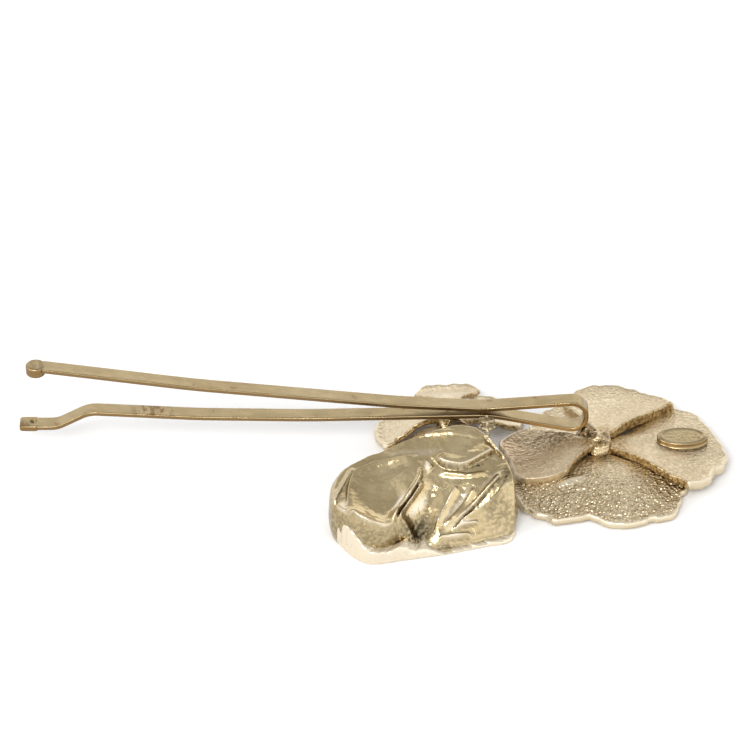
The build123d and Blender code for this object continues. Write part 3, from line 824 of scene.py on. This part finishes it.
def make_blossom_body():
    """The furled body of the blossom: folded face, outer wall and underside."""
    top, dark, painted_highlight = blossom_face(FACE_POINTS)
    border = border_of(FACE_POINTS, FACE_POINTS)
    wall, lap_shade, turn = blossom_wall(top[border], WALL_ROWS)
    under = blossom_underside(wall[-1], turn, UNDER_ROWS)
    tip = [[*BLOSSOM_MIDDLE, under[-1, :, 2].mean()]]
    vertices = np.concatenate([top, wall.reshape(-1, 3), under.reshape(-1, 3), tip])
    columns, face_count, last = len(border), len(top), len(vertices) - 1
    faces = grid_faces(FACE_POINTS, FACE_POINTS)
    faces += grid_faces(WALL_ROWS + UNDER_ROWS, columns, face_count, closed=True)
    for j in range(columns):
        k = (j + 1) % columns
        faces.append((border[k], border[j], face_count + j, face_count + k))
        faces.append((last - columns + j, last - columns + k, last))
    body = make_object("blossom_body", vertices, faces, POLISHED)
    face_outwards(body)
    up = math.sin(FACE_TILT) * vertices[:, 1] + math.cos(FACE_TILT) * vertices[:, 2]
    shade_x, shade_up, length, width = BLOSSOM_FOOT_SHADE
    # painted shade: a spot at the foot of the face, then the fold creases and the painted shade patches
    shade_mask = np.exp(-(((vertices[:, 0] - shade_x) / length) ** 2 + ((up - shade_up) / width) ** 2) ** 1.5)
    shade_mask[:face_count] = np.maximum(shade_mask[:face_count], dark)
    wall_end = face_count + WALL_ROWS * columns
    # painted shade on the lower part of the wall and beside each lap
    low_wall_shade = 0.5 * smooth((6.5 - vertices[face_count:wall_end, 2]) / 3)
    shade_mask[face_count:wall_end] = np.maximum.reduce([shade_mask[face_count:wall_end], low_wall_shade, lap_shade.ravel()])
    # painted shade over the whole underside
    shade_mask[wall_end:] = UNDERSIDE_SHADE
    paint(body, "painted_shade", shade_mask)
    # painted highlights on the face, kept off the painted shade
    painted_highlight = np.concatenate([painted_highlight, np.zeros(len(vertices) - face_count)])
    paint(body, "painted_highlight", np.clip(painted_highlight - shade_mask, 0, 1))
    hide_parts(*BLOSSOM_NODES)
    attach(body, "blossom")


def make_low_sheet():
    """The outer petal that lies low round the front left of the blossom."""
    t = edge_shares(SHEET_COLUMNS, SHEET_EDGE, SHEET_LENGTH)
    s = edge_shares(SHEET_ROWS, SHEET_EDGE, SHEET_HEIGHT)
    line = through(LOW_SHEET, t)
    outward = line[:, :2] - np.array(BLOSSOM_MIDDLE)
    outward /= np.linalg.norm(outward, axis=1)[:, None]
    height = line[None, :, 2] * s[:, None] + 0.05
    lean = 0.12 * np.sin(np.pi * s)[:, None] - 0.25 * s[:, None] ** 2
    across = edge_drop(np.minimum(s, 1 - s) * SHEET_HEIGHT, SHEET_EDGE)
    along = edge_drop(np.minimum(t, 1 - t) * SHEET_LENGTH, SHEET_EDGE)
    edge = np.minimum(across[:, None] + along[None], SHEET_EDGE)
    plan = line * (1, 1, 0)
    ripple = (0.6 * wobble(plan, 2.3, 3) + 0.12 * wobble(plan, 0.5, 8))[None] * s[:, None]
    crinkle = 0.18 * wobble(plan, 0.7, 6)[None] * np.sin(np.pi * s)[:, None]
    sheets = []
    for offset, sign in ((0.0, -1), (-SHEET_THICKNESS, 1)):
        push = lean + crinkle + offset + sign * edge
        sheets.append(np.dstack([line[None, :, :2] + push[:, :, None] * outward[None], height + ripple]))
    vertices, faces = solid_sheet(*sheets)
    vertices[:, 2] = np.maximum(vertices[:, 2], FLOOR_GAP)
    sheet = make_object("blossom_low_sheet", vertices, faces, POLISHED)
    paint(sheet, "painted_shade", np.zeros(len(vertices)))
    # painted reflection of the white floor: the whole low sheet is made paler
    paint(sheet, "painted_highlight", np.full(len(vertices), 0.75))
    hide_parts("blossom_petal_left")
    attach(sheet, "blossom")


# ---------------------------------------------------------------- pieces kept from the CAD frame


def dress(node, material):
    """Gives a CAD node its material."""
    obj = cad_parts[node]
    obj.data.materials.clear()
    obj.data.materials.append(material)


# place of the largest tarnish patch along the lower arm, from 0 to 1, and how far the dimple in the pad is
# from the pad's middle, in millimetres
TARNISH_PLACE = 0.235
DIMPLE_OFFSET = 0.5


def dress_frame():
    """Materials of the CAD nodes that keep their shape."""
    dress("upper_arm", STRIP)
    low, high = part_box("lower_arm")
    tarnish = low.lerp(high, 0.5)
    tarnish.x = low.x + TARNISH_PLACE * (high.x - low.x)
    dress("lower_arm", strip_gold("strip_gold_tarnished", [(tarnish, 3.2 * MM, 0.75, 0.5)]))
    low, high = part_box("upper_tip_bead")
    dress("upper_tip_bead", strip_gold("strip_gold_bead", [((low + high) / 2, 2.5 * MM, 0.4, 0.45)]))
    low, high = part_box("lower_tip_pad")
    end = Vector((low.x, low.y, high.z))
    dimple = Vector(((low.x + high.x) / 2 + DIMPLE_OFFSET * MM, (low.y + high.y) / 2, high.z))
    stains = [(end, 1.7 * MM, 0.7, 0.45), (dimple, 0.6 * MM, 0.8, 0.0)]
    dress("lower_tip_pad", strip_gold("strip_gold_pad", stains))
    for node in ("chain_eyelet", "chain_link_1", "chain_link_2", "blossom_eyelet"):
        dress(node, WIRE)
    dress("arm_solder", SHADED_SOLDER)
    for node in ("large_flower_stamens", "small_flower_stamens"):
        dress(node, GRAINED)


def make_bow():
    """The bow of the strip, which bends between the two arms as the slide opens."""
    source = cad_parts["spring_bow"]
    mesh = source.data.copy()
    mesh.materials.clear()
    mesh.materials.append(STRIP)
    bow = bpy.data.objects.new("bow_shaped", mesh)
    bpy.context.scene.collection.objects.link(bow)
    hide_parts("spring_bow")
    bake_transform(bow)


# ---------------------------------------------------------------- stage


def make_floor():
    """Plain white floor."""
    size = 2.0
    corners = [(-size, -size, 0), (size, -size, 0), (size, size, 0), (-size, size, 0)]
    mesh = bpy.data.meshes.new("floor")
    mesh.from_pydata(corners, [], [(0, 1, 2, 3)])
    floor = bpy.data.objects.new("floor", mesh)
    bpy.context.scene.collection.objects.link(floor)
    n = Nodes("floor_white")
    n.shader.inputs["Base Color"].default_value = (0.93, 0.93, 0.93, 1)
    n.shader.inputs["Roughness"].default_value = 0.9
    n.shader.inputs["Specular IOR Level"].default_value = 0.1
    mesh.materials.append(n.material)


# grey of the studio from straight down, 0, to straight up, 1
STUDIO_GREYS = [(0.0, 0.8), (0.5, 0.75), (0.6, 0.62), (0.78, 0.42), (0.9, 0.5), (1.0, 0.61)]


def make_studio():
    """Soft light from all round, dimmer half-way up, with soft clouds for the metal to reflect."""
    world = bpy.data.worlds.new("studio")
    bpy.context.scene.world = world
    world.use_nodes = True
    nodes, links = world.node_tree.nodes, world.node_tree.links
    background = nodes["Background"]
    place = nodes.new("ShaderNodeTexCoord")
    split = nodes.new("ShaderNodeSeparateXYZ")
    ramp = nodes.new("ShaderNodeValToRGB")
    links.new(place.outputs["Generated"], split.inputs[0])
    links.new(split.outputs["Z"], ramp.inputs["Fac"])
    steps = ramp.color_ramp.elements
    for position, _ in STUDIO_GREYS[1:-1]:
        steps.new(position)
    for step, (_, value) in zip(steps, STUDIO_GREYS):
        step.color = (value, value, value, 1)
    clouds = nodes.new("ShaderNodeTexNoise")
    clouds.inputs["Scale"].default_value = 1.6
    clouds.inputs["Detail"].default_value = 1.0
    links.new(place.outputs["Generated"], clouds.inputs["Vector"])
    contrast = nodes.new("ShaderNodeMapRange")
    for key, value in (("From Min", 0.38), ("From Max", 0.62), ("To Min", 0.7), ("To Max", 1.3)):
        contrast.inputs[key].default_value = value
    links.new(clouds.outputs["Fac"], contrast.inputs["Value"])
    product = nodes.new("ShaderNodeVectorMath")
    product.operation = "MULTIPLY"
    links.new(ramp.outputs["Color"], product.inputs[0])
    links.new(contrast.outputs["Result"], product.inputs[1])
    links.new(product.outputs["Vector"], background.inputs["Color"])
    background.inputs["Strength"].default_value = 1.65


# name, place, power in watts and width of each soft lamp
LAMPS = [("key", (-0.15, -0.5, 0.5), 2.2, 0.24), ("left", (-0.6, -0.3, 0.35), 1.2, 0.3)]


def make_lamps():
    """Two small soft lamps, facing the slide."""
    for name, place, power, width in LAMPS:
        light = bpy.data.lights.new(name, "AREA")
        light.energy = power
        light.size = width
        lamp = bpy.data.objects.new(name, light)
        lamp.location = place
        lamp.rotation_euler = Vector(place).to_track_quat("Z", "Y").to_euler()
        bpy.context.scene.collection.objects.link(lamp)


CAMERA_ELEVATION = math.radians(36)
CAMERA_DISTANCE = 0.6
PICTURE_WIDTH = 0.0883
AIM = Vector((0, 0, 0.01543))


def make_camera():
    """Long-lens camera, looking along +Y and down onto the slide."""
    data = bpy.data.cameras.new("camera")
    camera = bpy.data.objects.new("camera", data)
    bpy.context.scene.collection.objects.link(camera)
    back = Vector((0, -math.cos(CAMERA_ELEVATION), math.sin(CAMERA_ELEVATION)))
    camera.location = AIM + CAMERA_DISTANCE * back
    camera.rotation_euler = (math.pi / 2 - CAMERA_ELEVATION, 0, 0)
    data.lens = data.sensor_width * CAMERA_DISTANCE / PICTURE_WIDTH
    data.clip_start = 0.01
    bpy.context.scene.camera = camera
    bpy.context.scene.view_settings.view_transform = "Standard"


make_floor()
make_studio()
make_lamps()
make_camera()
dress_frame()
make_bow()
make_flowers()
make_boss("large_flower_rivet")
make_boss("small_flower_rivet")
make_solder_mound()
make_plaque()
make_blossom_body()
make_low_sheet()
